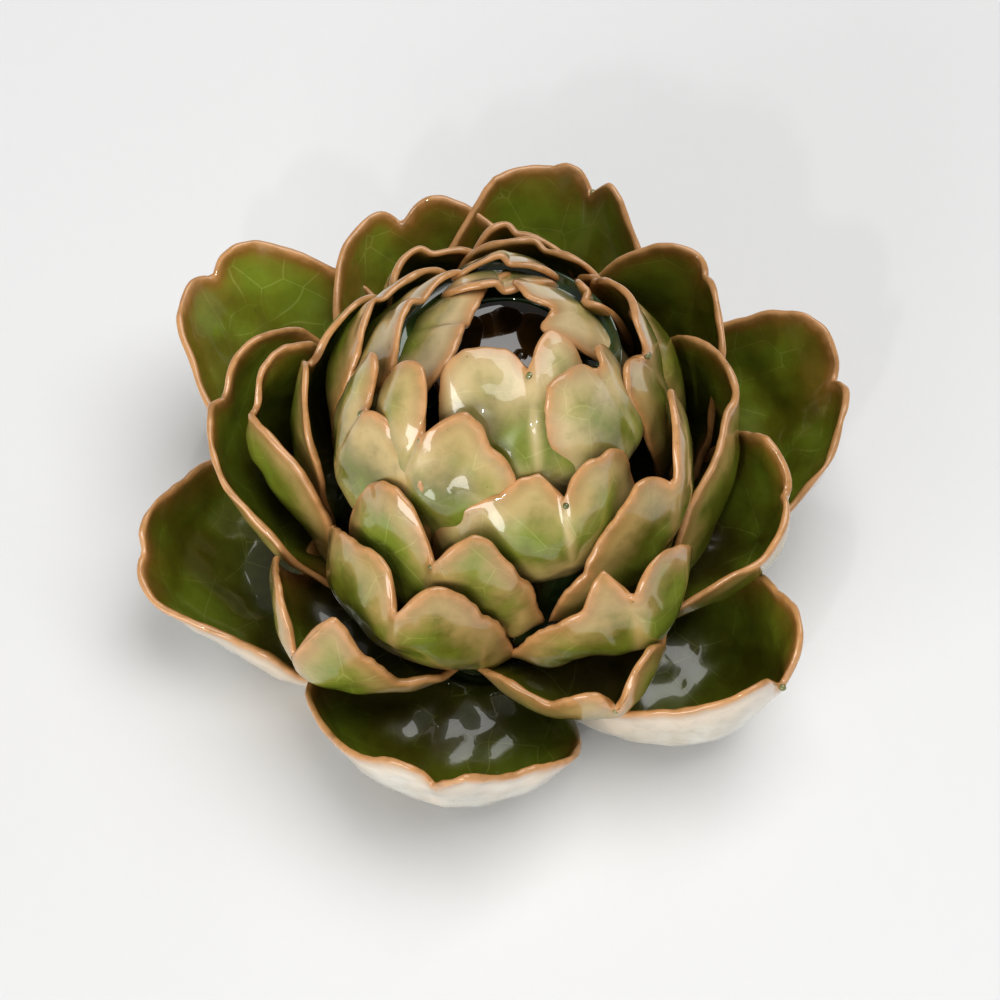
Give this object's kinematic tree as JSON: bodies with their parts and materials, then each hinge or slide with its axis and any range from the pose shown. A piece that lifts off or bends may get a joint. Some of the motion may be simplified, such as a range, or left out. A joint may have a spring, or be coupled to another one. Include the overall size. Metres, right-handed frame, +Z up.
{
  "type": "glazed ceramic artichoke",
  "caption": "Decorative ceramic artichoke: torn, cupped clay bracts pressed in rings onto a solid core, under a glossy green glaze, standing on a small flat foot.",
  "frame": {"origin": "centre of the flat foot, on the surface that the artichoke stands on", "axes": "+Z up through the bud; -Y is the side that faces the viewer, +X to that viewer's right"},
  "size_m": [0.1105, 0.1089, 0.0636],
  "materials": {
    "core_glaze": "glossy",
    "inner_glaze": "glossy",
    "upper_glaze": "glossy",
    "middle_glaze": "glossy",
    "lower_glaze": "glossy",
    "outer_glaze": "glossy"
  },
  "bodies": {
    "root": {"core": "core_glaze", "inner_bract_1": "inner_glaze", "inner_bract_2": "inner_glaze", "inner_bract_3": "inner_glaze", "inner_bract_4": "inner_glaze", "inner_bract_5": "inner_glaze", "upper_bract_1": "upper_glaze", "upper_bract_2": "upper_glaze", "upper_bract_3": "upper_glaze", "upper_bract_4": "upper_glaze", "upper_bract_5": "upper_glaze", "upper_bract_6": "upper_glaze", "upper_bract_7": "upper_glaze", "middle_bract_1": "middle_glaze", "middle_bract_2": "middle_glaze", "middle_bract_3": "middle_glaze", "middle_bract_4": "middle_glaze", "middle_bract_5": "middle_glaze", "middle_bract_6": "middle_glaze", "middle_bract_7": "middle_glaze", "middle_bract_8": "middle_glaze", "middle_bract_9": "middle_glaze", "lower_bract_1": "lower_glaze", "lower_bract_2": "lower_glaze", "lower_bract_3": "lower_glaze", "lower_bract_4": "lower_glaze", "lower_bract_5": "lower_glaze", "lower_bract_6": "lower_glaze", "lower_bract_7": "lower_glaze", "lower_bract_8": "lower_glaze", "outer_bract_1": "outer_glaze", "outer_bract_2": "outer_glaze", "outer_bract_3": "outer_glaze", "outer_bract_4": "outer_glaze", "outer_bract_5": "outer_glaze", "outer_bract_6": "outer_glaze", "outer_bract_7": "outer_glaze"}
  },
  "joints": []
}
